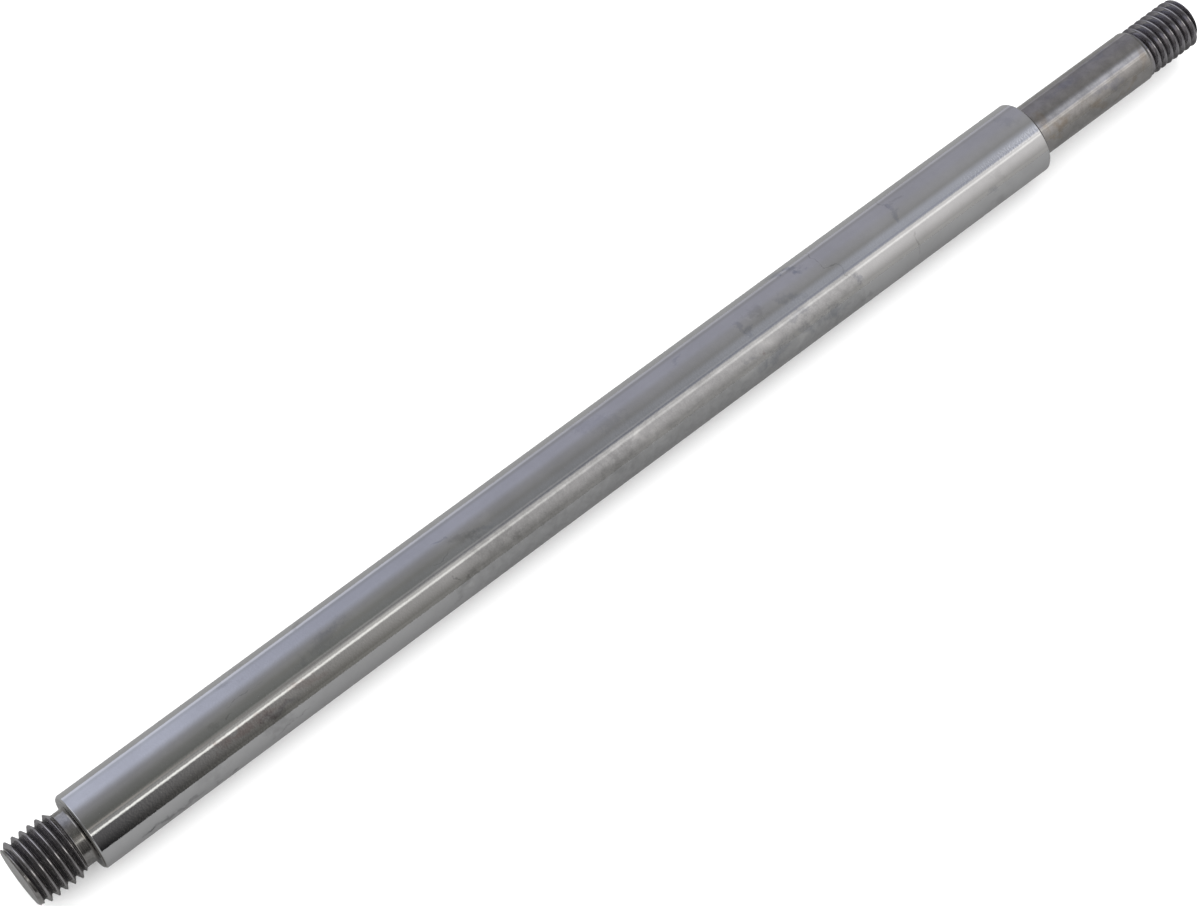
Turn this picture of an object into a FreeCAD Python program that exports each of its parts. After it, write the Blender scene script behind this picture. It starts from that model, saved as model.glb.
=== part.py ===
import FreeCAD, Part
import math
import os

# Shock absorber shaft: one bar of steel, turned, ground and hard chromed between its two shoulders.
# Millimetres. The shaft lies along +X with its axis through the origin, and +Z is up.
# The origin is the centre of the shoulder that the eyelet tightens against: the threaded eyelet stub
# runs from there to -X, and the rod, the piston spigot and the threaded tip run to +X.

# Rod
rod_dia = 14.0
rod_length = 206.0
eyelet_edge_chamfer = 0.4
piston_edge_chamfer = 0.3

# Eyelet stub: a right-hand thread, an undercut beside the shoulder and a short plain nose
eyelet_thread_dia = 12.0
eyelet_thread_pitch = 1.5
eyelet_thread_length = 9.45
undercut_length = 2.15
undercut_below_root = 0.03
undercut_fillet = 0.5
nose_length = 0.65
nose_step = 0.55
nose_edge_chamfer = 0.25

# Piston spigot: ground, with a root fillet and a lead that drops to the neck of the tip
spigot_dia = 10.0
spigot_length = 27.7
spigot_fillet = 0.4
spigot_lead_length = 0.45

# Threaded tip: rolled, so its crests rise out of the plain neck and stay clear of the piston's bore
tip_thread_pitch = 1.5
tip_thread_length = 11.8
tip_bore_clearance = 0.17
neck_below_crest = 0.13
neck_rise_length = 2.0
tip_run_out_length = 0.9
tip_end_chamfer = 0.4

# Thread form: 60 degree flanks, a crest flat of an eighth of the pitch
flank_angle = 30.0
depth_per_pitch = 0.6134
crest_flat_per_pitch = 0.125
cutter_overhang = 0.1

# Where each groove, carried on at its own pitch, would cross the plane of its shoulder, in degrees
eyelet_groove_angle = 264.4
tip_groove_angle = 179.9

origin = FreeCAD.Vector(0, 0, 0)
turning_axis = FreeCAD.Vector(0, 0, 1)


def thread_depth(pitch):
    return depth_per_pitch * pitch


# Radii, and stations along the axis, all from the sizes above
rod_radius = rod_dia / 2
crest_radius = eyelet_thread_dia / 2
undercut_radius = crest_radius - thread_depth(eyelet_thread_pitch) - undercut_below_root
nose_radius = crest_radius - nose_step
spigot_radius = spigot_dia / 2
tip_radius = spigot_radius - tip_bore_clearance
neck_radius = tip_radius - neck_below_crest

undercut_start = -undercut_length
nose_end = undercut_start - eyelet_thread_length
nose_start = nose_end + nose_length
spigot_start = rod_length
spigot_end = spigot_start + spigot_length
tip_end = spigot_end + tip_thread_length


def lines(points):
    ends = [FreeCAD.Vector(radius, 0, station) for radius, station in points]
    return [Part.makeLine(a, b) for a, b in zip(ends, ends[1:])]


def revolved(edges):
    return Part.Face(Part.Wire(edges)).revolve(origin, turning_axis, 360)


def inner_corner(fillet, floor_radius, shoulder, side):
    # Arc from the floor of a step up to its shoulder, limited by the height of the shoulder
    size = min(fillet, 0.4 * (rod_radius - floor_radius))
    reach = size * (1 - math.sqrt(0.5))
    on_floor = FreeCAD.Vector(floor_radius, 0, shoulder + side * size)
    between = FreeCAD.Vector(floor_radius + reach, 0, shoulder + side * reach)
    on_shoulder = FreeCAD.Vector(floor_radius + size, 0, shoulder)
    return Part.Arc(on_floor, between, on_shoulder).toShape(), size


def turned_blank():
    # Half section of the bar, from the face of the nose to the face of the tip
    stub_corner, stub_fillet = inner_corner(undercut_fillet, undercut_radius, 0.0, -1)
    spigot_corner, root_fillet = inner_corner(spigot_fillet, spigot_radius, spigot_start, 1)
    stub = lines([
        (0.0, nose_end),
        (nose_radius - nose_edge_chamfer, nose_end),
        (nose_radius, nose_end + nose_edge_chamfer),
        (nose_radius, nose_start),
        (crest_radius, nose_start + nose_step),
        (crest_radius, undercut_start - (crest_radius - undercut_radius)),
        (undercut_radius, undercut_start),
        (undercut_radius, -stub_fillet),
    ])
    rod = lines([
        (undercut_radius + stub_fillet, 0.0),
        (rod_radius - eyelet_edge_chamfer, 0.0),
        (rod_radius, eyelet_edge_chamfer),
        (rod_radius, rod_length - piston_edge_chamfer),
        (rod_radius - piston_edge_chamfer, rod_length),
        (spigot_radius + root_fillet, spigot_start),
    ])
    spigot_and_tip = lines([
        (spigot_radius, spigot_start + root_fillet),
        (spigot_radius, spigot_end - spigot_lead_length),
        (neck_radius, spigot_end),
        (tip_radius, spigot_end + neck_rise_length),
        (tip_radius, tip_end - tip_end_chamfer),
        (tip_radius - tip_end_chamfer, tip_end),
        (0.0, tip_end),
        (0.0, nose_end),
    ])
    return revolved(stub + [stub_corner] + rod + [spigot_corner] + spigot_and_tip)


def half_turns(crest, pitch, inner, outer, direction, angle):
    # Cutters for the V between two crests, each half a turn of its helix, from an inner station outwards
    slope = math.tan(math.radians(flank_angle))
    depth = thread_depth(pitch)
    floor_radius = crest - depth
    top_radius = crest + cutter_overhang
    half_floor = pitch * (1 - crest_flat_per_pitch) / 2 - slope * depth
    half_top = half_floor + slope * (depth + cutter_overhang)
    section = lines([
        (floor_radius, -half_floor),
        (top_radius, -half_top),
        (top_radius, half_top),
        (floor_radius, half_floor),
        (floor_radius, -half_floor),
    ])
    step = pitch / 2
    helix = Part.makeHelix(pitch, step, floor_radius)
    half_turn = Part.Wire(helix.Edges).makePipeShell([Part.Wire(section)], True, True)
    cutters = []
    for number in range(math.ceil(abs(outer - inner) / step)):
        # Each cutter rises along the axis, so towards the open end at -X it starts one step further out
        start = inner + number * step if direction > 0 else inner - (number + 1) * step
        cutter = half_turn.copy()
        cutter.rotate(origin, turning_axis, angle + 360 * start / pitch)
        cutter.translate(FreeCAD.Vector(0, 0, start))
        cutters.append(cutter)
    return cutters


def with_eyelet_thread(blank):
    # Out of the undercut and on through the nose
    inner = undercut_start + eyelet_thread_pitch / 4
    outer = nose_end - eyelet_thread_pitch
    for cutter in half_turns(crest_radius, eyelet_thread_pitch, inner, outer, -1, eyelet_groove_angle):
        blank = blank.cut(cutter)
    return blank


def with_tip_thread(blank):
    # Out of the plain neck, deeper until the run-out ends, and on through the end of the tip
    floor_radius = tip_radius - thread_depth(tip_thread_pitch)
    inner = spigot_end - tip_thread_pitch
    outer = tip_end + tip_thread_pitch
    behind = inner - tip_thread_pitch
    outside = tip_radius + 2 * cutter_overhang
    run_out_end = spigot_end + tip_run_out_length
    left_whole = revolved(lines([
        (0.0, behind),
        (outside, behind),
        (outside, spigot_end),
        (floor_radius - cutter_overhang, run_out_end),
        (0.0, run_out_end),
        (0.0, behind),
    ]))
    angle = tip_groove_angle - 360 * spigot_start / tip_thread_pitch
    for cutter in half_turns(tip_radius, tip_thread_pitch, inner, outer, 1, angle):
        blank = blank.cut(cutter.cut(left_whole))
    return blank


shaft = with_tip_thread(with_eyelet_thread(turned_blank()))
# From upright, as turned, to lying along +X
shaft.rotate(origin, FreeCAD.Vector(0, 1, 0), 90)

os.makedirs("parts", exist_ok=True)
shaft.Solids[0].exportStep("parts/shock_shaft.step")
print("solids", len(shaft.Solids), "valid", shaft.isValid(), "volume", round(shaft.Volume, 2))
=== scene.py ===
import math
import bmesh
import bpy
from mathutils import Matrix, Vector


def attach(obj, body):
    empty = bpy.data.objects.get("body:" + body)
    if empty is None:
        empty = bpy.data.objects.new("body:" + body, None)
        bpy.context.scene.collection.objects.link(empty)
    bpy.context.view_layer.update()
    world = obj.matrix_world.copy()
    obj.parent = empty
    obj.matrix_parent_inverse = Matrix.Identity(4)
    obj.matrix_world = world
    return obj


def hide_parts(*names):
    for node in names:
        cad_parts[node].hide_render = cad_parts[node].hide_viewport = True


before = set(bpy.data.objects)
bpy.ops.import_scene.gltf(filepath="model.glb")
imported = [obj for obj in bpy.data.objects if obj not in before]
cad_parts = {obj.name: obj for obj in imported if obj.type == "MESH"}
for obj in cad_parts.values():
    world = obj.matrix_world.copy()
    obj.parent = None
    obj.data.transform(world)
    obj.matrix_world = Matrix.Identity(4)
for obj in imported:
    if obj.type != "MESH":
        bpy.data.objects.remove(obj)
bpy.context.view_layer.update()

scene = bpy.context.scene
mm = 0.001
xAxis = Vector((1, 0, 0))
turns = 144                      # columns round the shaft, shared by all its stretches so that they weld
filletRows = 8                   # rows of faces round a fillet
endRings = (0.94, 0.5, 0.06)     # rings on the flat end faces, as shares of their radius
touch = 1e-4                     # millimetres within which two places count as one
seamWeld = 0.002                 # the same where a spun line meets itself
stretchWeld = 0.001              # and where two stretches meet
columnTouch = 0.001              # share of a column within which a point lies on it
spareGrooves = 2                 # grooves past each end of a thread before it is cut to length


# The turned form and its threads, in millimetres

rod = {
    "radius": 7.0,
    "length": 206.0,
    "eyeletChamfer": 0.4,
    "pistonChamfer": 0.3,
    "edgeRound": 0.05,
    "support": 0.15,             # rings beside each edge keep the shading of the long walls straight
    "faceRim": 0.03,             # the rounded rim of the eyelet shoulder is bare steel up to here
}

eyeletStub = {
    "crest": 6.0,
    "pitch": 1.5,
    "grooveAngle": 264.4,        # where the groove would cross the shoulder's plane, as in the solid
    "undercutLength": 2.15,
    "undercutRadius": 5.05,
    "undercutFillet": 0.5,
    "threadLength": 9.45,
    "noseLength": 0.65,
    "noseStep": 0.55,
    "noseChamfer": 0.25,
    "rootRound": 0.09,
    "crestRound": 0.09,
}

pistonEnd = {
    "spigot": 5.0,
    "spigotLength": 27.7,
    "rootFillet": 0.4,
    "lead": 0.45,
    "crest": 4.83,
    "pitch": 1.5,
    "grooveAngle": 179.9,
    "threadLength": 11.8,
    "neck": 4.70,
    "neckRise": 2.0,
    "runOut": 0.9,
    "runOutStep": 0.01,          # past the run-out the floor line drops away over this length
    "endChamfer": 0.4,
    "rootRound": 0.12,
    "crestRound": 0.085,
}

threadForm = {
    "flank": 30.0,               # degrees
    "depth": 0.6134,             # share of the pitch
    "crestFlat": 0.125,          # share of the pitch
    "rows": 0.13,                # widest row of faces across a groove
}

# The finishes in their order on the mesh
finishOrder = ["hardChrome", "cutSteel", "groundSteel", "rolledSteel", "turnedSteel"]


def chain(bm, points):
    # An open line of edges through points given as station and radius
    verts = [bm.verts.new((station, radius, 0.0)) for station, radius in points]
    for a, b in zip(verts, verts[1:]):
        bm.edges.new((a, b))
    return verts


def roundCorners(bm, verts, offset, segments=3):
    bmesh.ops.bevel(bm, geom=verts, offset=offset, offset_type="OFFSET", segments=segments,
                    profile=0.5, affect="VERTICES", material=-1)


def divideLong(bm, longest):
    # Long edges of the line are cut evenly, so that no row of faces is wider than longest
    for edge in list(bm.edges):
        cuts = math.ceil(edge.calc_length() / longest) - 1
        if cuts > 0:
            bmesh.ops.subdivide_edges(bm, edges=[edge], cuts=cuts)


def addSupports(bm, distance):
    # Edges over four times the distance long get a point that far from each end
    for edge in list(bm.edges):
        length = edge.calc_length()
        if length > 4 * distance:
            share = distance / length
            first, second = edge.verts
            bmesh.utils.edge_split(edge, first, share)
            rest = [e for e in second.link_edges if abs(e.calc_length() - length * (1 - share)) < touch][0]
            bmesh.utils.edge_split(rest, second, share / (1 - share))


def spinLine(bm, advance):
    # A full turn about the axis; with an advance the line climbs by one pitch and closes on itself as a helix
    step = Vector((advance / turns, 0, 0))
    bmesh.ops.spin(bm, geom=bm.verts[:] + bm.edges[:], cent=(0, 0, 0), axis=xAxis, dvec=step,
                   angle=math.tau, steps=turns, space=Matrix.Identity(4), use_merge=advance == 0.0)
    bmesh.ops.remove_doubles(bm, verts=bm.verts, dist=seamWeld)


def turnedStretch():
    # Undercut, shoulder, rod, piston shoulder and spigot: one line spun round the axis
    bm = bmesh.new()
    stub, tip = eyeletStub, pistonEnd
    spigotEnd = rod["length"] + tip["spigotLength"]
    line = chain(bm, [
        (-stub["undercutLength"], stub["undercutRadius"]),
        (0.0, stub["undercutRadius"]),
        (0.0, rod["radius"] - rod["eyeletChamfer"]),
        (rod["eyeletChamfer"], rod["radius"]),
        (rod["length"] - rod["pistonChamfer"], rod["radius"]),
        (rod["length"], rod["radius"] - rod["pistonChamfer"]),
        (rod["length"], tip["spigot"]),
        (spigotEnd - tip["lead"], tip["spigot"]),
        (spigotEnd, tip["neck"]),
    ])
    _, undercutCorner, faceRim, rodStart, rodEnd, shoulderRim, spigotCorner, leadStart, _ = line
    roundCorners(bm, [undercutCorner], stub["undercutFillet"], filletRows)
    roundCorners(bm, [spigotCorner], tip["rootFillet"], filletRows)
    roundCorners(bm, [faceRim, rodStart, rodEnd, shoulderRim, leadStart], rod["edgeRound"])
    addSupports(bm, rod["support"])
    spinLine(bm, 0.0)
    return bm


def rootRadius(sizes):
    return sizes["crest"] - threadForm["depth"] * sizes["pitch"]


def radiusAt(line, station):
    # Radius at a station of a line given as pairs of station and radius
    if station <= line[0][0]:
        return line[0][1]
    for (x0, r0), (x1, r1) in zip(line, line[1:]):
        if station <= x1:
            return r0 + (r1 - r0) * (station - x0) / (x1 - x0)
    return line[-1][1]


def threadSection(bm, sizes, shoulder, start, end):
    # Roots, flanks and crests in one line, from some grooves before the start to some past the end
    pitch, crest, root = sizes["pitch"], sizes["crest"], rootRadius(sizes)
    flankRun = (crest - root) * math.tan(math.radians(threadForm["flank"]))
    halfFlat = pitch * threadForm["crestFlat"] / 2
    halfFloor = pitch / 2 - halfFlat - flankRun
    firstGroove = shoulder - (sizes["grooveAngle"] - 90.0) / 360.0 * pitch
    firstGroove += (math.floor((start - firstGroove) / pitch) - spareGrooves) * pitch
    points = []
    for number in range(math.ceil((end - firstGroove) / pitch) + spareGrooves + 1):
        centre = firstGroove + number * pitch
        points += [
            (centre - halfFloor, root),
            (centre + halfFloor, root),
            (centre + halfFloor + flankRun, crest),
            (centre + pitch - halfFloor - flankRun, crest),
        ]
    corners = chain(bm, points)[1:-1]
    roots = [v for v in corners if v.co.y < (root + crest) / 2]
    crests = [v for v in corners if v.co.y > (root + crest) / 2]
    roundCorners(bm, roots, sizes["rootRound"])
    roundCorners(bm, crests, sizes["crestRound"])
    divideLong(bm, threadForm["rows"])


def cutAcross(bm, station, facing=1, clear=False):
    # A cut square to the axis; with clear, what lies on the side it faces goes
    bmesh.ops.bisect_plane(bm, geom=bm.verts[:] + bm.edges[:] + bm.faces[:], dist=1e-5,
                           plane_co=(station, 0, 0), plane_no=(facing, 0, 0), clear_outer=clear)


def holdInside(bm, envelope, floorLine):
    # No point stands out of the turned envelope or lies below the floor line
    for vert in bm.verts:
        radius = math.hypot(vert.co.y, vert.co.z)
        held = min(max(radius, radiusAt(floorLine, vert.co.x)), radiusAt(envelope, vert.co.x))
        vert.co.y *= held / radius
        vert.co.z *= held / radius


def snapRim(bm, station):
    # The rim that welds to the turned stretch keeps only its own columns
    rim = [v for v in bm.verts if abs(v.co.x - station) < touch]
    column = math.tau / turns
    onColumn = {}
    spare = []
    for vert in rim:
        place = math.atan2(vert.co.z, vert.co.y) / column
        if abs(place - round(place)) < columnTouch and round(place) % turns not in onColumn:
            onColumn[round(place) % turns] = vert
        else:
            spare.append((vert, place))
    targets = {vert: onColumn[round(place) % turns] for vert, place in spare}
    bmesh.ops.weld_verts(bm, targetmap=targets)


def helicalStretch(sizes, shoulder, start, end, envelope, floorLine, weldStation):
    # The thread's section spun with a lead, cut to length and held inside the turned envelope
    bm = bmesh.new()
    threadSection(bm, sizes, shoulder, start, end)
    spinLine(bm, sizes["pitch"])
    cutAcross(bm, start, -1, clear=True)
    cutAcross(bm, end, 1, clear=True)
    for station, _ in envelope[1:-1]:
        cutAcross(bm, station)
    holdInside(bm, envelope, floorLine)
    snapRim(bm, weldStation)
    return bm


def eyeletThread():
    stub = eyeletStub
    undercutStart = -stub["undercutLength"]
    end = undercutStart - stub["threadLength"]
    noseStart = end + stub["noseLength"]
    nose = stub["crest"] - stub["noseStep"]
    envelope = [
        (end, nose - stub["noseChamfer"]),
        (end + stub["noseChamfer"], nose),
        (noseStart, nose),
        (noseStart + stub["noseStep"], stub["crest"]),
        (undercutStart - (stub["crest"] - stub["undercutRadius"]), stub["crest"]),
        (undercutStart, stub["undercutRadius"]),
    ]
    return helicalStretch(stub, 0.0, end, undercutStart, envelope, [(end, 0.0)], undercutStart)


def pistonThread():
    tip = pistonEnd
    start = rod["length"] + tip["spigotLength"]
    end = start + tip["threadLength"]
    envelope = [
        (start, tip["neck"]),
        (start + tip["neckRise"], tip["crest"]),
        (end - tip["endChamfer"], tip["crest"]),
        (end, tip["crest"] - tip["endChamfer"]),
    ]
    runOutEnd = start + tip["runOut"]
    runOut = [(start, tip["crest"]), (runOutEnd, rootRadius(tip)), (runOutEnd + tip["runOutStep"], 0.0)]
    return helicalStretch(tip, rod["length"], start, end, envelope, runOut, start)


def closeEnd(bm, station, radius):
    # The flat end face: the rim is drawn in by rings and closed at the centre
    rim = [e for e in bm.edges if e.is_boundary and all(abs(v.co.x - station) < touch for v in e.verts)]
    for share in endRings:
        made = bmesh.ops.extrude_edge_only(bm, edges=rim)["geom"]
        rim = [g for g in made if isinstance(g, bmesh.types.BMEdge)]
        for vert in {v for e in rim for v in e.verts}:
            size = share * radius / math.hypot(vert.co.y, vert.co.z)
            vert.co.y *= size
            vert.co.z *= size
    bmesh.ops.holes_fill(bm, edges=rim)


def finishAt(station):
    # Chrome on the rod, turned steel in the undercut and on the nose, the two threads, and the ground spigot
    stub = eyeletStub
    noseStart = stub["noseLength"] - stub["undercutLength"] - stub["threadLength"]
    if station < noseStart or -stub["undercutLength"] < station < rod["faceRim"]:
        return "turnedSteel"
    if station < 0:
        return "cutSteel"
    if station < rod["length"] - rod["pistonChamfer"] / 2:
        return "hardChrome"
    return "groundSteel" if station < rod["length"] + pistonEnd["spigotLength"] else "rolledSteel"


def buildShaft():
    mesh = bpy.data.meshes.new("shockShaft")
    whole = bmesh.new()
    for part in (turnedStretch(), eyeletThread(), pistonThread()):
        part.to_mesh(mesh)
        whole.from_mesh(mesh)
        part.free()
    bmesh.ops.remove_doubles(whole, verts=[v for v in whole.verts if v.is_boundary], dist=stretchWeld)
    stubEnd = -eyeletStub["undercutLength"] - eyeletStub["threadLength"]
    tipEnd = rod["length"] + pistonEnd["spigotLength"] + pistonEnd["threadLength"]
    closeEnd(whole, stubEnd, eyeletStub["undercutRadius"])
    closeEnd(whole, tipEnd, rootRadius(pistonEnd))
    bmesh.ops.dissolve_degenerate(whole, dist=touch, edges=whole.edges)
    bmesh.ops.recalc_face_normals(whole, faces=whole.faces)
    for face in whole.faces:
        face.smooth = True
        face.material_index = finishOrder.index(finishAt(face.calc_center_median().x))
    openEdges = [e for e in whole.edges if not e.is_manifold]
    print("shaft", len(whole.verts), "verts,", sum(len(f.verts) - 2 for f in whole.faces), "triangles,",
          len(openEdges), "open edges, volume", round(whole.calc_volume(signed=True), 2), "mm3")
    bmesh.ops.scale(whole, vec=(mm, mm, mm), verts=whole.verts)
    whole.to_mesh(mesh)
    whole.free()
    piece = bpy.data.objects.new("shockShaft", mesh)
    scene.collection.objects.link(piece)
    return piece


shaftPiece = buildShaft()


# Node helpers

def addNode(tree, kind, **values):
    node = tree.nodes.new(kind)
    for key, value in values.items():
        setattr(node, key, value)
    return node


def feed(tree, socket, value):
    # A socket takes either a link or its own value
    if isinstance(value, bpy.types.NodeSocket):
        tree.links.new(value, socket)
    elif isinstance(value, tuple) and socket.type == "RGBA" and len(value) == 3:
        socket.default_value = (*value, 1.0)
    else:
        socket.default_value = value


def maths(tree, operation, first, second=None, third=None):
    node = addNode(tree, "ShaderNodeMath", operation=operation)
    for socket, value in zip(node.inputs, (first, second, third)):
        if value is not None:
            feed(tree, socket, value)
    return node.outputs[0]


def rise(tree, value, low, high, toLow=0.0, toHigh=1.0, smooth=True):
    node = addNode(tree, "ShaderNodeMapRange", interpolation_type="SMOOTHSTEP" if smooth else "LINEAR")
    labels = ("Value", "From Min", "From Max", "To Min", "To Max")
    for label, given in zip(labels, (value, low, high, toLow, toHigh)):
        feed(tree, node.inputs[label], given)
    return node.outputs["Result"]


def mixColour(tree, share, first, second, blend="MIX"):
    node = addNode(tree, "ShaderNodeMix", data_type="RGBA", blend_type=blend)
    feed(tree, node.inputs[0], share)
    feed(tree, node.inputs[6], first)
    feed(tree, node.inputs[7], second)
    return node.outputs[2]


def mixValue(tree, share, first, second):
    node = addNode(tree, "ShaderNodeMix", data_type="FLOAT")
    feed(tree, node.inputs[0], share)
    feed(tree, node.inputs[2], first)
    feed(tree, node.inputs[3], second)
    return node.outputs[0]


def scaled(tree, vector, amount):
    node = addNode(tree, "ShaderNodeVectorMath", operation="SCALE")
    feed(tree, node.inputs[0], vector)
    feed(tree, node.inputs["Scale"], amount)
    return node.outputs[0]


def summed(tree, vectors):
    total = vectors[0]
    for vector in vectors[1:]:
        node = addNode(tree, "ShaderNodeVectorMath", operation="ADD")
        feed(tree, node.inputs[0], total)
        feed(tree, node.inputs[1], vector)
        total = node.outputs[0]
    return total


def noise(tree, vector, size, detail, rough, output="Fac"):
    node = addNode(tree, "ShaderNodeTexNoise")
    for label, given in zip(("Vector", "Scale", "Detail", "Roughness"), (vector, size, detail, rough)):
        feed(tree, node.inputs[label], given)
    return node.outputs[output]


def newGroup(name, inputs, outputs):
    group = bpy.data.node_groups.new(name, "ShaderNodeTree")
    kinds = {"value": "NodeSocketFloat", "colour": "NodeSocketColor", "vector": "NodeSocketVector"}
    for label, kind, default in inputs:
        socket = group.interface.new_socket(label, in_out="INPUT", socket_type=kinds[kind])
        if default is not None:
            socket.default_value = default
    for label, kind in outputs:
        group.interface.new_socket(label, in_out="OUTPUT", socket_type=kinds[kind])
    return group, addNode(group, "NodeGroupInput").outputs, addNode(group, "NodeGroupOutput").inputs


def useGroup(tree, group, **values):
    node = addNode(tree, "ShaderNodeGroup", node_tree=group)
    for label, value in values.items():
        feed(tree, node.inputs[label], value)
    return node.outputs


def newMaterial(name):
    material = bpy.data.materials.new(name)
    material.use_nodes = True
    tree = material.node_tree
    tree.nodes.clear()
    shader = addNode(tree, "ShaderNodeBsdfPrincipled")
    tree.links.new(shader.outputs[0], addNode(tree, "ShaderNodeOutputMaterial").inputs["Surface"])
    return material, tree, shader


# Effects shared by the finishes

# Dirt and painted shade on the threads
threadGrime = {
    "grain": (900.0, 4.0, 0.6),      # size, detail and roughness
    "broken": 0.22,
    "flank": (-0.05, 0.55),          # shares of the thread's height: dirt and painted shade full up to here, and gone
    "topTurn": 22.0,                 # degrees round, the middle of the upper side, where the crests get no painted shade
    "rubbed": (50.0, 78.0),          # degrees from there: still free of painted shade, and under it again
    # how strong the painted shade is on the sides turned away from the top
    "unrubbed": 0.62,
    "nearTurn": (10.0, 40.0),        # degrees round: painted shade makes the dirt darker and browner from here on, and most from here
    "deep": (0.5, 0.95),             # how strong the mask is where painted shade starts to blacken it, and where it is black
}


def makePlaceGroup():
    # Where a point lies on the shaft: millimetres along, degrees round from the top towards the near side,
    # and millimetres from the axis
    group, given, made = newGroup("placeOnShaft", [("Object", "vector", None)],
                                  [("Along", "value"), ("Turn", "value"), ("Radius", "value")])
    split = addNode(group, "ShaderNodeSeparateXYZ")
    group.links.new(given["Object"], split.inputs[0])
    x, y, z = split.outputs
    feed(group, made["Along"], maths(group, "MULTIPLY", x, 1 / mm))
    turn = maths(group, "ARCTAN2", maths(group, "MULTIPLY", y, -1.0), z)
    feed(group, made["Turn"], maths(group, "DEGREES", turn))
    squares = maths(group, "ADD", maths(group, "POWER", y, 2.0), maths(group, "POWER", z, 2.0))
    feed(group, made["Radius"], maths(group, "MULTIPLY", maths(group, "SQRT", squares), 1 / mm))
    return group


def makeTurningGroup():
    # Fine rings left by the tool or the wheel, which hardly change round the shaft
    group, given, made = newGroup("turningRings", [
        ("Object", "vector", None), ("Rings", "value", 5000.0), ("Change", "value", 60.0)],
        [("Height", "value")])
    split = addNode(group, "ShaderNodeSeparateXYZ")
    group.links.new(given["Object"], split.inputs[0])
    line = addNode(group, "ShaderNodeCombineXYZ")
    for axis, scale in (("X", given["Rings"]), ("Y", given["Change"]), ("Z", given["Change"])):
        feed(group, line.inputs[axis], maths(group, "MULTIPLY", split.outputs[axis], scale))
    feed(group, made["Height"], noise(group, line.outputs[0], size=1.0, detail=2.0, rough=0.6))
    return group


def makeStainGroup():
    # A cloud of small stains, and the same cloud about zero, which frays the edges of marks
    group, given, made = newGroup("stains", [
        ("Object", "vector", None), ("Size", "value", 700.0), ("Detail", "value", 6.0),
        ("Rough", "value", 0.7), ("Fray", "value", 1.0)], [("Cloud", "value"), ("Ragged", "value")])
    cloud = noise(group, given["Object"], given["Size"], given["Detail"], given["Rough"])
    feed(group, made["Cloud"], cloud)
    feed(group, made["Ragged"], maths(group, "MULTIPLY", maths(group, "SUBTRACT", cloud, 0.5), given["Fray"]))
    return group


def makeGrimeGroup():
    # Dirt and painted shade in the roots of a thread: a dark film, thin on its flanks, with painted shade
    # blacker deep down and darker and browner on the near side. The crests stay bare only on the upper side;
    # the sides turned away get painted shade.
    group, given, made = newGroup("valleyGrime", [
        ("Object", "vector", None), ("Turn", "value", 0.0), ("Radius", "value", 5.0),
        ("Root", "value", 5.0), ("Crest", "value", 6.0),
        ("Grime", "colour", None), ("Old", "colour", None), ("Deep", "colour", None)],
        [("Mask", "value"), ("Dirt", "colour")])
    look = threadGrime
    height = rise(group, given["Radius"], given["Root"], given["Crest"], smooth=False)
    grain = maths(group, "SUBTRACT", noise(group, given["Object"], *look["grain"]), 0.5)
    level = maths(group, "ADD", height, maths(group, "MULTIPLY", grain, look["broken"]))
    fromTop = maths(group, "ABSOLUTE", maths(group, "SUBTRACT", given["Turn"], look["topTurn"]))
    # The mask: dirt and painted shade in the roots, and painted shade on the sides turned away from the top
    mask = maths(group, "MAXIMUM", rise(group, level, *look["flank"], 1.0, 0.0),
                 rise(group, fromTop, *look["rubbed"], 0.0, look["unrubbed"]))
    # Painted shade: a darker, browner colour towards the near side
    dirt = mixColour(group, rise(group, given["Turn"], *look["nearTurn"]), given["Grime"], given["Old"])
    feed(group, made["Mask"], mask)
    # Painted shade: black where the mask is strongest
    feed(group, made["Dirt"], mixColour(group, rise(group, mask, *look["deep"]), dirt, given["Deep"]))
    return group


def makeCornerGroup():
    # Painted shade in the corner under a shoulder, which thins out up the shoulder's face
    group, given, made = newGroup("cornerDirt", [
        ("Along", "value", 0.0), ("Radius", "value", 5.0), ("Ragged", "value", 0.0), ("Fray", "value", 0.1),
        ("Clean", "value", 1.0), ("Dirty", "value", 0.0), ("Inner", "value", 5.5), ("Outer", "value", 6.4),
        ("Most", "value", 0.8)], [("Mask", "value")])
    frayed = maths(group, "MULTIPLY_ADD", given["Ragged"], given["Fray"], given["Along"])
    beside = rise(group, frayed, given["Clean"], given["Dirty"], 0.0, given["Most"])
    below = rise(group, given["Radius"], given["Inner"], given["Outer"], 1.0, 0.0)
    feed(group, made["Mask"], maths(group, "MULTIPLY", beside, below))
    return group


def makeFlatGroup():
    # The surface laid flat, millimetres along and round, and bent about so that marks on it
    # lose their even outlines
    group, given, made = newGroup("laidFlat", [
        ("Object", "vector", None), ("Along", "value", 0.0), ("Turn", "value", 0.0), ("Radius", "value", 7.0),
        ("Size", "value", 340.0), ("Reach", "value", 4.0)], [("Surface", "vector")])
    flat = addNode(group, "ShaderNodeCombineXYZ")
    around = maths(group, "MULTIPLY", given["Turn"], given["Radius"])
    feed(group, flat.inputs["X"], given["Along"])
    feed(group, flat.inputs["Y"], maths(group, "RADIANS", around))
    drift = noise(group, given["Object"], given["Size"], detail=3.0, rough=0.5, output="Color")
    centred = addNode(group, "ShaderNodeVectorMath", operation="SUBTRACT")
    group.links.new(drift, centred.inputs[0])
    centred.inputs[1].default_value = (0.5, 0.5, 0.5)
    bends = scaled(group, centred.outputs[0], given["Reach"])
    feed(group, made["Surface"], summed(group, [bends, flat.outputs[0]]))
    return group


markEdge = (0.25, 1.25)              # shares of a mark's reach: full up to here, and gone


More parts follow.
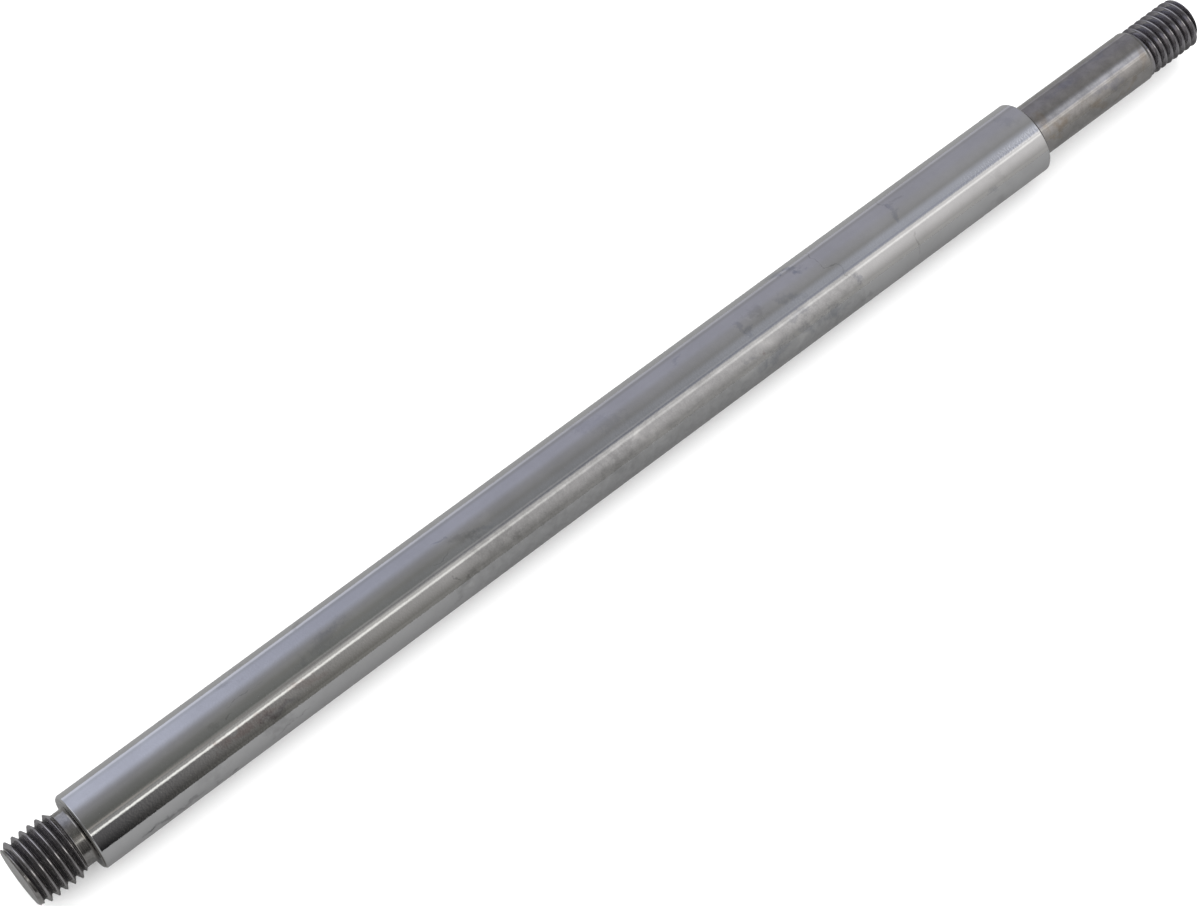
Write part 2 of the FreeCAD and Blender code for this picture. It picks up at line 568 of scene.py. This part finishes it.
def makeMarkGroup():
    # One mark on the unrolled surface: an oval with a ragged edge, laid at its own place and lean
    group, given, made = newGroup("ovalMark", [
        ("Surface", "vector", None), ("Ragged", "value", 0.0), ("Centre", "vector", None),
        ("Lean", "vector", None), ("Reach", "vector", None), ("Strength", "value", 0.1),
        ("Before", "value", 0.0)], [("Total", "value")])
    mapping = addNode(group, "ShaderNodeMapping", vector_type="TEXTURE")
    for socket, label in zip(mapping.inputs, ("Surface", "Centre", "Lean", "Reach")):
        group.links.new(given[label], socket)
    length = addNode(group, "ShaderNodeVectorMath", operation="LENGTH")
    group.links.new(mapping.outputs[0], length.inputs[0])
    frayed = maths(group, "ADD", length.outputs["Value"], given["Ragged"])
    mask = rise(group, frayed, *markEdge, 1.0, 0.0)
    feed(group, made["Total"], maths(group, "MULTIPLY_ADD", mask, given["Strength"], given["Before"]))
    return group


placeGroup = makePlaceGroup()
turningGroup = makeTurningGroup()
stainGroup = makeStainGroup()
grimeGroup = makeGrimeGroup()
cornerGroup = makeCornerGroup()
flatGroup = makeFlatGroup()
markGroup = makeMarkGroup()


# Marks on the chrome: millimetres along the shaft, millimetres round it from the top towards the near side,
# half length, half width, lean in degrees, strength

chromeMarks = {
    "dark": {
        "tint": (0.0, 0.0, 0.0),
        "places": [
            (35.4, 7.8, 3.4, 2.0, 11, 0.16), (12.4, 10.9, 3.6, 0.9, 4, 0.42),
            (8.4, 10.5, 0.9, 0.8, 33, 0.42), (17.1, 11.0, 2.0, 0.6, -4, 0.30),
            (22.3, 10.7, 0.8, 0.7, 14, 0.35), (24.4, 11.2, 1.6, 0.7, 9, 0.40),
            (35.9, 9.7, 3.3, 0.3, -12, 0.20), (40.0, 9.0, 2.3, 0.2, -4, 0.16),
            (31.6, -3.7, 1.8, 0.7, 20, 0.13), (35.9, -5.4, 2.0, 0.9, 26, 0.15),
            (47.1, -5.3, 2.5, 0.8, -33, 0.16), (28.9, 1.8, 0.6, 0.3, 0, 0.18),
            (26.3, 1.4, 1.3, 0.5, 0, 0.11), (32.6, 0.3, 3.0, 0.12, 5, 0.16), (21.8, 8.7, 3.4, 1.2, 0, 0.10),
            (77.7, 1.0, 2.8, 1.0, 22, 0.18), (72.4, 1.7, 2.1, 0.2, -3, 0.17),
            (72.7, 5.4, 1.1, 0.4, 54, 0.28), (73.1, 8.1, 3.1, 1.4, -45, 0.20),
            (75.4, 7.0, 1.7, 1.0, 0, 0.20), (85.4, 6.2, 1.6, 0.9, 0, 0.14), (81.0, 4.9, 5.2, 1.3, 3, 0.10),
            (107.4, 6.2, 3.8, 2.3, -14, 0.10), (142.0, -0.2, 2.3, 1.3, 39, 0.14),
            (157.5, -2.7, 2.4, 0.14, 85, 0.20), (158.8, 0.6, 1.7, 0.2, 46, 0.24),
            (160.0, 3.1, 1.6, 0.14, 81, 0.17), (162.4, 10.5, 0.7, 0.8, 0, 0.16),
            (174.0, -3.9, 2.5, 0.2, 96, 0.12), (176.0, -1.6, 1.4, 0.4, 11, 0.10),
            (175.1, 6.1, 1.5, 0.3, 111, 0.18), (174.5, 8.4, 1.6, 0.3, 100, 0.16),
            (193.9, 10.9, 1.8, 1.5, 15, 0.14), (194.5, 5.8, 1.8, 1.1, 49, 0.07),
        ],
    },
    "blue": {
        "tint": (0.12, 0.18, 0.36),
        "places": [
            (36.2, 5.8, 4.3, 0.7, 0, 0.22), (48.6, 0.9, 5.2, 1.5, -8, 0.15),
            (50.9, -0.2, 2.6, 0.6, -20, 0.08), (73.8, -0.8, 2.3, 0.3, 12, 0.25),
            (80.9, 1.5, 2.8, 0.6, 7, 0.15), (108.2, -1.0, 5.9, 1.8, 28, 0.10),
            (125.9, -1.9, 2.0, 0.7, -28, 0.18), (138.3, 0.2, 1.6, 0.5, 98, 0.20),
            (139.0, 1.8, 1.4, 0.6, 18, 0.20), (150.5, -5.4, 2.5, 1.1, 35, 0.26),
            (152.6, -3.7, 2.2, 0.9, 40, 0.27), (153.7, -2.0, 1.6, 0.6, 75, 0.22),
            (149.6, 2.3, 2.8, 0.6, 7, 0.10), (141.0, 8.0, 4.0, 1.6, -10, 0.18),
            (173.9, 0.2, 2.2, 0.7, 96, 0.23), (201.9, -1.9, 2.1, 0.9, 45, 0.10),
            (148.5, 0.8, 2.1, 1.0, 29, 0.19), (161.3, 5.8, 1.2, 0.7, 67, 0.24),
            (136.9, 5.6, 1.9, 0.8, 26, 0.18), (148.6, 4.2, 3.2, 1.0, 2, 0.18),
            (148.5, 7.0, 2.8, 1.2, 42, 0.18), (154.7, 8.1, 3.6, 1.6, 13, 0.21),
            (191.9, 7.3, 1.5, 0.7, 32, 0.18),
        ],
    },
    "brown": {
        "tint": (0.35, 0.05, 0.0),
        "places": [
            (42.4, 4.9, 3.8, 1.0, 8, 0.18), (30.5, 5.0, 7.0, 1.2, 3, 0.28),
            (139.0, 6.5, 0.8, 0.5, 42, 0.28),
        ],
    },
    "pale": {
        "tint": (2.0, 1.98, 1.93),
        "places": [
            (112.5, 4.8, 1.3, 0.6, -19, 0.22), (113.9, 6.5, 1.5, 0.7, -16, 0.22),
            (112.3, 5.7, 1.3, 0.6, 59, 0.18), (114.6, 5.6, 1.0, 0.6, 72, 0.15),
            (116.5, 7.1, 2.2, 1.1, 0, 0.18), (116.2, 5.5, 1.2, 0.7, 26, 0.12),
            (123.6, 7.0, 6.3, 0.3, -1, 0.08), (146.5, 8.6, 2.6, 1.2, -32, 0.24),
            (140.8, 5.0, 2.2, 1.1, 29, 0.17), (135.2, 7.8, 2.8, 1.0, 21, 0.20),
            (82.0, 0.2, 1.5, 0.8, 49, 0.07), (129.0, -5.4, 2.1, 1.3, 8, 0.08),
            (140.1, -0.2, 1.0, 0.4, 91, 0.09), (73.9, 8.6, 0.9, 0.6, -17, 0.22),
        ],
    },
}

# Marks on the spigot, the same way
spigotMarks = {
    "brown": {
        "tint": (0.75, 0.45, 0.1),
        "places": [
            (211.5, 3.9, 1.8, 1.3, 0, 0.25), (209.0, 5.4, 2.4, 1.0, 20, 0.2),
            (208.2, 1.8, 0.9, 2.6, 0, 0.2), (219.5, 5.2, 3.0, 0.9, 30, 0.2),
            (227.0, 6.4, 3.6, 0.8, -8, 0.2), (231.8, 3.2, 0.7, 2.2, 0, 0.15),
        ],
    },
    "blue": {
        "tint": (0.3, 0.45, 1.0),
        "places": [
            (223.0, 3.6, 3.4, 0.9, 8, 0.16), (216.0, -1.6, 3.2, 1.2, 0, 0.14),
            (226.0, -2.6, 4.0, 1.0, 0, 0.12),
        ],
    },
}


# Finishes

hardChrome = {
    "colour": (0.55, 0.552, 0.556),
    "roughness": (0.3, 0.7, 0.08, 0.05),     # from this much of the broad patches to this, and at each
    "speckle": (2600.0, 1.0, 0.5),   # size, detail and roughness of the noise
    "speckleBump": (0.02, 0.0002),   # strength and depth
    "cloud": (700.0, 6.0, 0.72),     # size, detail and roughness of the small stains
    "patches": (110.0, 3.0, 0.55),   # and of the broad ones
    "patchy": 0.22,
    "mottle": (0.12, 0.62),          # how strong the small stains are on clean chrome and under the film
    "fray": 3.0,
    "wander": (340.0, 4.0),          # size and reach of the bends in the marks
    "filmStart": (73.0, 76.5),       # an old film dulls the near side from here
    "filmStop": (161.4, 161.8),      # to here
    "filmFray": 1.6,
    "filmTurn": (27.0, 29.0),
    "filmShade": 0.13,
    "edgeDirt": (0.075, 0.066, 0.05),
    "edgeReach": (0.15, 0.27),       # the edge beside the eyelet: painted shade up to here, and none past here
    "edgeTurn": (-40.0, 5.0, 0.25, 0.85),    # degrees round, and how strong the painted shade is at each
}
groundSteel = {
    "colour": (0.335, 0.325, 0.317),
    "tone": (0.3, 0.7, 0.86, 1.12),  # from this much stain to this, and how light the steel is at each
    "roughness": (0.3, 0.7, 0.135, 0.055),   # and how rough
    "cloud": (420.0, 5.0, 0.65),
    "fray": 2.2,
    "wander": (380.0, 3.5),
    "rings": (4000.0, 0.05, 0.00002),    # how close, strength and depth
    "cornerDirt": (0.05, 0.045, 0.045),
    "cornerReach": (0.75, 0.25),     # from the shoulder: no painted shade, and the darkest
    "cornerRadii": (5.5, 6.4),       # painted shade up to here, and none
    "cornerFray": 0.12,
}
turnedSteel = {
    "colour": (0.33, 0.322, 0.312),
    "tone": (0.3, 0.65, 0.66, 1.2),
    "roughness": 0.19,
    "cloud": (500.0, 5.0, 0.65),
    "fray": 1.0,
    "rings": (3200.0, 0.35, 0.00004),
    "cornerDirt": (0.06, 0.052, 0.045),
    "cornerReach": (-0.65, -0.15),
    "cornerRadii": (5.7, 6.2),
    "cornerFray": 0.5,
    "cornerTurn": (-10.0, 40.0, 0.45, 1.0),  # degrees round, and how strong the painted shade is at each
}
cutSteel = {
    "colour": (0.36, 0.35, 0.355),
    # root colour of dirt and painted shade, then painted shade on the near side and deep down
    "grime": (0.095, 0.089, 0.1),
    "oldGrime": (0.05, 0.044, 0.036),
    "deepGrime": (0.012, 0.01, 0.012),
    "metallic": (1.0, 0.68),         # bare, and under the dirt and painted shade
    "roughness": (0.12, 0.45),
}
rolledSteel = {
    "colour": (0.36, 0.35, 0.365),
    # root colour of dirt and painted shade, then painted shade on the near side and deep down
    "grime": (0.07, 0.062, 0.08),
    "oldGrime": (0.055, 0.05, 0.046),
    "deepGrime": (0.015, 0.012, 0.016),
    "metallic": (1.0, 0.86),
    "roughness": (0.09, 0.45),
}


def startMetal(name):
    material, tree, shader = newMaterial(name)
    where = addNode(tree, "ShaderNodeTexCoord").outputs["Object"]
    place = useGroup(tree, placeGroup, Object=where)
    return material, tree, shader, where, place


def stained(tree, where, look):
    size, detail, rough = look["cloud"]
    made = useGroup(tree, stainGroup, Object=where, Size=size, Detail=detail, Rough=rough, Fray=look["fray"])
    return made["Cloud"], made["Ragged"]


def laidFlat(tree, where, place, radius, look):
    size, reach = look["wander"]
    return useGroup(tree, flatGroup, Object=where, Along=place["Along"], Turn=place["Turn"], Radius=radius,
                    Size=size, Reach=reach)["Surface"]


def withMarks(tree, colour, surface, ragged, marks):
    for kind in marks.values():
        total = 0.0
        for station, around, halfLength, halfWidth, lean, strength in kind["places"]:
            total = useGroup(tree, markGroup, Surface=surface, Ragged=ragged, Centre=(station, around, 0.0),
                             Lean=(0.0, 0.0, math.radians(lean)), Reach=(halfLength, halfWidth, 1.0),
                             Strength=strength, Before=total)["Total"]
        colour = mixColour(tree, total, colour, mixColour(tree, 1.0, colour, kind["tint"], "MULTIPLY"))
    return colour


# Painted shade in the corner under a shoulder
def inCorner(tree, place, ragged, shoulder, look):
    clean, dirty = look["cornerReach"]
    inner, outer = look["cornerRadii"]
    return useGroup(tree, cornerGroup, Along=place["Along"], Radius=place["Radius"], Ragged=ragged,
                    Fray=look["cornerFray"], Clean=shoulder + clean, Dirty=shoulder + dirty,
                    Inner=inner, Outer=outer)["Mask"]


def withBump(tree, shader, height, strength, distance):
    bump = addNode(tree, "ShaderNodeBump")
    bump.inputs["Strength"].default_value = strength
    bump.inputs["Distance"].default_value = distance
    feed(tree, bump.inputs["Height"], height)
    tree.links.new(bump.outputs[0], shader.inputs["Normal"])


def withRings(tree, shader, where, look):
    rings, strength, depth = look["rings"]
    withBump(tree, shader, useGroup(tree, turningGroup, Object=where, Rings=rings)["Height"], strength, depth)


def chromeMaterial():
    material, tree, shader, where, place = startMetal("hardChrome")
    look = hardChrome
    surface = laidFlat(tree, where, place, rod["radius"], look)
    cloud, ragged = stained(tree, where, look)
    patches = noise(tree, where, *look["patches"])
    frayed = maths(tree, "MULTIPLY_ADD", ragged, look["filmFray"], place["Along"])
    film = maths(tree, "MULTIPLY", rise(tree, frayed, *look["filmStart"]),
                 rise(tree, place["Along"], *look["filmStop"], 1.0, 0.0))
    film = maths(tree, "MULTIPLY", film, rise(tree, place["Turn"], *look["filmTurn"]))
    stainStrength = mixValue(tree, film, *look["mottle"])
    mottle = maths(tree, "MULTIPLY", maths(tree, "SUBTRACT", cloud, 0.5), stainStrength)
    mottle = maths(tree, "MULTIPLY_ADD", maths(tree, "SUBTRACT", patches, 0.5), look["patchy"], mottle)
    shade = maths(tree, "MULTIPLY", film, look["filmShade"])
    tone = maths(tree, "SUBTRACT", maths(tree, "ADD", 1.0, mottle), shade)
    colour = withMarks(tree, scaled(tree, look["colour"], tone), surface, ragged, chromeMarks)
    # Painted shade, a dark reflection on the chamfer beside the eyelet, stronger towards the near side
    edge = maths(tree, "MULTIPLY", rise(tree, place["Along"], *look["edgeReach"], 1.0, 0.0),
                 rise(tree, place["Turn"], *look["edgeTurn"]))
    feed(tree, shader.inputs["Base Color"], mixColour(tree, edge, colour, look["edgeDirt"]))
    shader.inputs["Metallic"].default_value = 1.0
    feed(tree, shader.inputs["Roughness"], rise(tree, patches, *look["roughness"]))
    withBump(tree, shader, noise(tree, where, *look["speckle"]), *look["speckleBump"])
    return material


def groundMaterial():
    material, tree, shader, where, place = startMetal("groundSteel")
    look = groundSteel
    surface = laidFlat(tree, where, place, pistonEnd["spigot"], look)
    cloud, ragged = stained(tree, where, look)
    colour = scaled(tree, look["colour"], rise(tree, cloud, *look["tone"]))
    colour = withMarks(tree, colour, surface, ragged, spigotMarks)
    # Painted shade in the corner at the foot of the spigot, against the rod's end
    corner = inCorner(tree, place, ragged, rod["length"], look)
    feed(tree, shader.inputs["Base Color"], mixColour(tree, corner, colour, look["cornerDirt"]))
    shader.inputs["Metallic"].default_value = 1.0
    feed(tree, shader.inputs["Roughness"], rise(tree, cloud, *look["roughness"]))
    withRings(tree, shader, where, look)
    return material


def turnedMaterial():
    material, tree, shader, where, place = startMetal("turnedSteel")
    look = turnedSteel
    cloud, ragged = stained(tree, where, look)
    colour = scaled(tree, look["colour"], rise(tree, cloud, *look["tone"]))
    # Painted shade in the corner under the eyelet shoulder, stronger towards the near side
    corner = maths(tree, "MULTIPLY", inCorner(tree, place, ragged, 0.0, look),
                   rise(tree, place["Turn"], *look["cornerTurn"]))
    feed(tree, shader.inputs["Base Color"], mixColour(tree, corner, colour, look["cornerDirt"]))
    shader.inputs["Metallic"].default_value = 1.0
    shader.inputs["Roughness"].default_value = look["roughness"]
    withRings(tree, shader, where, look)
    return material


def threadMaterial(name, look, sizes):
    material, tree, shader, where, place = startMetal(name)
    grime = useGroup(tree, grimeGroup, Object=where, Turn=place["Turn"], Radius=place["Radius"],
                     Root=rootRadius(sizes), Crest=sizes["crest"],
                     Grime=look["grime"], Old=look["oldGrime"], Deep=look["deepGrime"])
    # Base colour: dirt and painted shade in the roots, painted shade on the sides turned away from the top
    feed(tree, shader.inputs["Base Color"], mixColour(tree, grime["Mask"], look["colour"], grime["Dirt"]))
    feed(tree, shader.inputs["Metallic"], mixValue(tree, grime["Mask"], *look["metallic"]))
    feed(tree, shader.inputs["Roughness"], mixValue(tree, grime["Mask"], *look["roughness"]))
    return material


finishes = {
    "hardChrome": chromeMaterial(),
    "cutSteel": threadMaterial("cutSteel", cutSteel, eyeletStub),
    "groundSteel": groundMaterial(),
    "rolledSteel": threadMaterial("rolledSteel", rolledSteel, pistonEnd),
    "turnedSteel": turnedMaterial(),
}
for name in finishOrder:
    shaftPiece.data.materials.append(finishes[name])
print("finishes", [m.name for m in shaftPiece.data.materials])

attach(shaftPiece, "root")
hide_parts("shock_shaft")


# Floor: white paper to the lens, a grey strip as wide as the paper in the metal. Metres.

floorLook = {
    "size": 6.0,
    "height": -rod["radius"] * mm,
    "colour": (0.93, 0.93, 0.93),
    "roughness": 0.9,
    "middle": 0.125,
    "spread": 0.09,                # from the middle of the shaft to its ends
    "nearGrey": (0.256, 0.29),     # beside the middle of the shaft and beside its ends
    "farGrey": 0.285,
    "blend": 0.02,                 # half the width of the change from near to far
    "halfWidth": 0.066,
    "softEdge": 0.15,              # share of the half width
}


def makeFloor():
    look = floorLook
    bm = bmesh.new()
    bmesh.ops.create_grid(bm, x_segments=1, y_segments=1, size=look["size"] / 2)
    bmesh.ops.translate(bm, verts=bm.verts, vec=(0, 0, look["height"]))
    mesh = bpy.data.meshes.new("floor")
    bm.to_mesh(mesh)
    bm.free()
    floor = bpy.data.objects.new("floor", mesh)
    scene.collection.objects.link(floor)
    material, tree, shader = newMaterial("paleFloor")
    shader.inputs["Roughness"].default_value = look["roughness"]
    shader.inputs["Specular IOR Level"].default_value = 0.0
    split = addNode(tree, "ShaderNodeSeparateXYZ")
    tree.links.new(addNode(tree, "ShaderNodeTexCoord").outputs["Object"], split.inputs[0])
    seen = addNode(tree, "ShaderNodeLightPath").outputs["Is Camera Ray"]
    fromMiddle = maths(tree, "ABSOLUTE", maths(tree, "SUBTRACT", split.outputs["X"], look["middle"]))
    near = rise(tree, fromMiddle, 0.0, look["spread"], *look["nearGrey"])
    grey = rise(tree, split.outputs["Y"], -look["blend"], look["blend"], near, look["farGrey"])
    feed(tree, shader.inputs["Base Color"], mixColour(tree, seen, grey, look["colour"]))
    reach = maths(tree, "ABSOLUTE", split.outputs["Y"])
    inside, outside = look["halfWidth"] * (1 - look["softEdge"]), look["halfWidth"] * (1 + look["softEdge"])
    paper = rise(tree, reach, inside, outside, 1.0, 0.0)
    feed(tree, shader.inputs["Alpha"], maths(tree, "MAXIMUM", paper, seen))
    mesh.materials.append(material)


makeFloor()


# Studio: soft cards round the shaft. Angles run round its axis, 0 straight up and 90 level on the near side.
# A card has its angles, how softly it starts and stops, its brightness and its tint. Those beside the shaft
# have four brightnesses: as the eyelet end, the first quarter, the middle and the piston end see them.

studio = {
    "slopes": (0.116, 0.205, 0.305, 0.42),       # how far along the shaft each of those places looks
    "cards": {
        "far rim":      (-100, -93, 6, 6, (0.24, 0.38, 0.22, 0.19), (0.98, 0.97, 1.04)),
        "far wall":     (-130, -50, 12, 30, (0.38, 0.23, 0.05, 0.0), (0.89, 0.97, 1.15)),
        "blue card":    (-72, -50, 12, 22, (0.07, 0.07, 0.09, 0.05), (0.9, 0.92, 1.34)),
        "ceiling glow": (-130, -38, 12, 60, (0.32, 0.28, 0.2, 0.21), (0.967, 0.96, 1.1)),
        "ceiling":      (-135, 100, 6, 2, (0.02, 0.0, 0.17, 0.22), (1.0, 0.992, 1.03)),
        "overhead":     (-6, 23, 50, 5, (0.12, 0.17, 0.07, 0.1), (1.06, 1.06, 0.88)),
        "sky window":   (14, 30.8, 20, 3, (0.03, 0.07, 0.1, 0.27), (0.88, 0.945, 1.2)),
        "lath":         (23.4, 25, 3, 2.5, (0.02, 0.17, 0.10, 0.0), (1.03, 1.0, 0.96)),
        "batten":       (27.8, 29.3, 4, 2.5, (0.37, 0.23, 0.0, 0.01), (1.09, 1.01, 0.9)),
        "pink card":    (31.3, 40.3, 2.5, 3, (0.23, 0.3, 0.16, 0.09), (1.02, 1.01, 0.96)),
        "tube":         (43.3, 43.7, 4.4, 5, (1.49, 1.17, 0.32, 0.52), (1.02, 1.02, 0.97)),
        "window glow":  (34.8, 50.8, 3.5, 50, (0.12, 0.24, 0.39, 0.5), (1.01, 0.98, 1.0)),
        "near wall":    (34.8, 110, 5, 8, (0.0, 0.18, 0.15, 0.22), (1.06, 1.02, 0.90)),
        "skirting":     (92, 100, 5, 6, (0.0, 0.085, 0.05, 0.08), (1.0, 1.0, 1.0)),
    },
    "leftEnd": (-0.3, -0.1),     # slopes between which the view past the eyelet end takes over
    "leftRoom": (0.22, 0.40),    # beyond the eyelet end: straight ahead of it, and above it
    "leftRoomRise": (-0.95, -0.5),
    "leftCards": {
        "eyelet card": (-66, -18, 14, 20, 1.2, (0.96, 0.98, 1.08)),
        "tube end":    (30, 46, 8, 8, 2.0, (1.03, 1.0, 0.94)),
    },
    "leftCardRise": (-0.85, -0.55),
    "rightEnd": (0.54, 0.62),    # and past the piston end
    "rightRoom": 0.3,
    "rightCards": {              # seen mostly by the spigot and the tip
        "spigot window": (21, 34, 16, 8, 0.66, (0.96, 0.98, 1.06)),
    },
    "rightCardRise": (0.436, 0.49),
    "dome": 1.8,                 # plain light on the floor
    "backdrop": (0.93, 0.93, 0.93),
}


def makeCardGroup():
    numbers = ["Angle", "From", "To", "Soft From", "Soft To", "Quarter", "Middle", "Far",
               "At Eyelet", "At Quarter", "At Middle", "At Piston"]
    inputs = [(label, "value", 0.0) for label in numbers]
    group, given, made = newGroup("lightCard", inputs, [("Level", "value")])
    opens = maths(group, "SUBTRACT", given["From"], given["Soft From"])
    closes = maths(group, "ADD", given["To"], given["Soft To"])
    opening = rise(group, given["Angle"], opens, given["From"])
    closing = rise(group, given["Angle"], given["To"], closes, 1.0, 0.0)
    level = mixValue(group, given["Quarter"], given["At Eyelet"], given["At Quarter"])
    level = mixValue(group, given["Middle"], level, given["At Middle"])
    level = mixValue(group, given["Far"], level, given["At Piston"])
    feed(group, made["Level"], maths(group, "MULTIPLY", maths(group, "MULTIPLY", opening, closing), level))
    return group


def makeStudio():
    world = bpy.data.worlds.new("studio")
    world.use_nodes = True
    tree = world.node_tree
    tree.nodes.clear()
    split = addNode(tree, "ShaderNodeSeparateXYZ")
    tree.links.new(addNode(tree, "ShaderNodeTexCoord").outputs["Generated"], split.inputs[0])
    slope, y, z = split.outputs
    angle = maths(tree, "DEGREES", maths(tree, "ARCTAN2", maths(tree, "MULTIPLY", y, -1.0), z))
    stations = studio["slopes"]
    shares = [rise(tree, slope, a, b, smooth=False) for a, b in zip(stations, stations[1:])]
    cardGroup = makeCardGroup()

    def lit(label, start, stop, softStart, softStop, levels, tint):
        card = addNode(tree, "ShaderNodeGroup", node_tree=cardGroup, label=label)
        for socket, value in zip(card.inputs, [angle, start, stop, softStart, softStop, *shares, *levels]):
            feed(tree, socket, value)
        return scaled(tree, tint, card.outputs[0])

    def litBeyond(cards):
        # Cards beyond an end of the shaft have one brightness
        return [lit(label, *place, (level,) * 4, tint) for label, (*place, level, tint) in cards.items()]

    rightShare = rise(tree, slope, *studio["rightCardRise"])
    light = summed(tree, [lit(label, *card) for label, card in studio["cards"].items()]
                   + [scaled(tree, card, rightShare) for card in litBeyond(studio["rightCards"])])
    pastLeft = rise(tree, slope, *studio["leftEnd"], 1.0, 0.0)
    pastRight = rise(tree, slope, *studio["rightEnd"])
    between = maths(tree, "MULTIPLY", rise(tree, slope, *studio["leftEnd"]),
                    rise(tree, slope, *studio["rightEnd"], 1.0, 0.0))
    room = maths(tree, "MULTIPLY", pastLeft, rise(tree, slope, *studio["leftRoomRise"], *studio["leftRoom"]))
    room = maths(tree, "MULTIPLY_ADD", pastRight, studio["rightRoom"], room)
    leftShare = maths(tree, "MULTIPLY", pastLeft, rise(tree, slope, *studio["leftCardRise"]))
    leftLight = summed(tree, litBeyond(studio["leftCards"]))
    total = summed(tree, [scaled(tree, light, between), scaled(tree, leftLight, leftShare),
                          scaled(tree, (1, 1, 1), room)])
    ray = addNode(tree, "ShaderNodeLightPath").outputs
    colour = mixColour(tree, ray["Is Diffuse Ray"], total, (studio["dome"],) * 3)
    glow = addNode(tree, "ShaderNodeBackground")
    feed(tree, glow.inputs["Color"], mixColour(tree, ray["Is Camera Ray"], colour, studio["backdrop"]))
    tree.links.new(glow.outputs[0], addNode(tree, "ShaderNodeOutputWorld").inputs["Surface"])
    world.cycles.sampling_method = "NONE"        # the cards are found by the metal's own reflections
    scene.world = world


makeStudio()
scene.view_settings.view_transform = "Standard"
print("studio", sum(len(studio[kind]) for kind in ("cards", "leftCards", "rightCards")), "cards")


# Camera, at the photograph's angle

cameraFit = {
    "place": (-55.2375, -193.9049, 467.0100),
    "right": (0.76611716, -0.64270094, 0.0),
    "up": (0.56535579, 0.67391962, 0.47561032),
    "lens": 94.48,
    "sensor": 36.0,
    "clip": (0.01, 100.0),
}


def makeCamera():
    data = bpy.data.cameras.new("photoCamera")
    data.lens = cameraFit["lens"]
    data.sensor_width = cameraFit["sensor"]
    data.clip_start, data.clip_end = cameraFit["clip"]
    camera = bpy.data.objects.new("photoCamera", data)
    right, up = Vector(cameraFit["right"]), Vector(cameraFit["up"])
    turn = Matrix((right, up, right.cross(up))).transposed().to_4x4()
    camera.matrix_world = Matrix.Translation(Vector(cameraFit["place"]) * mm) @ turn
    scene.collection.objects.link(camera)
    scene.camera = camera


makeCamera()
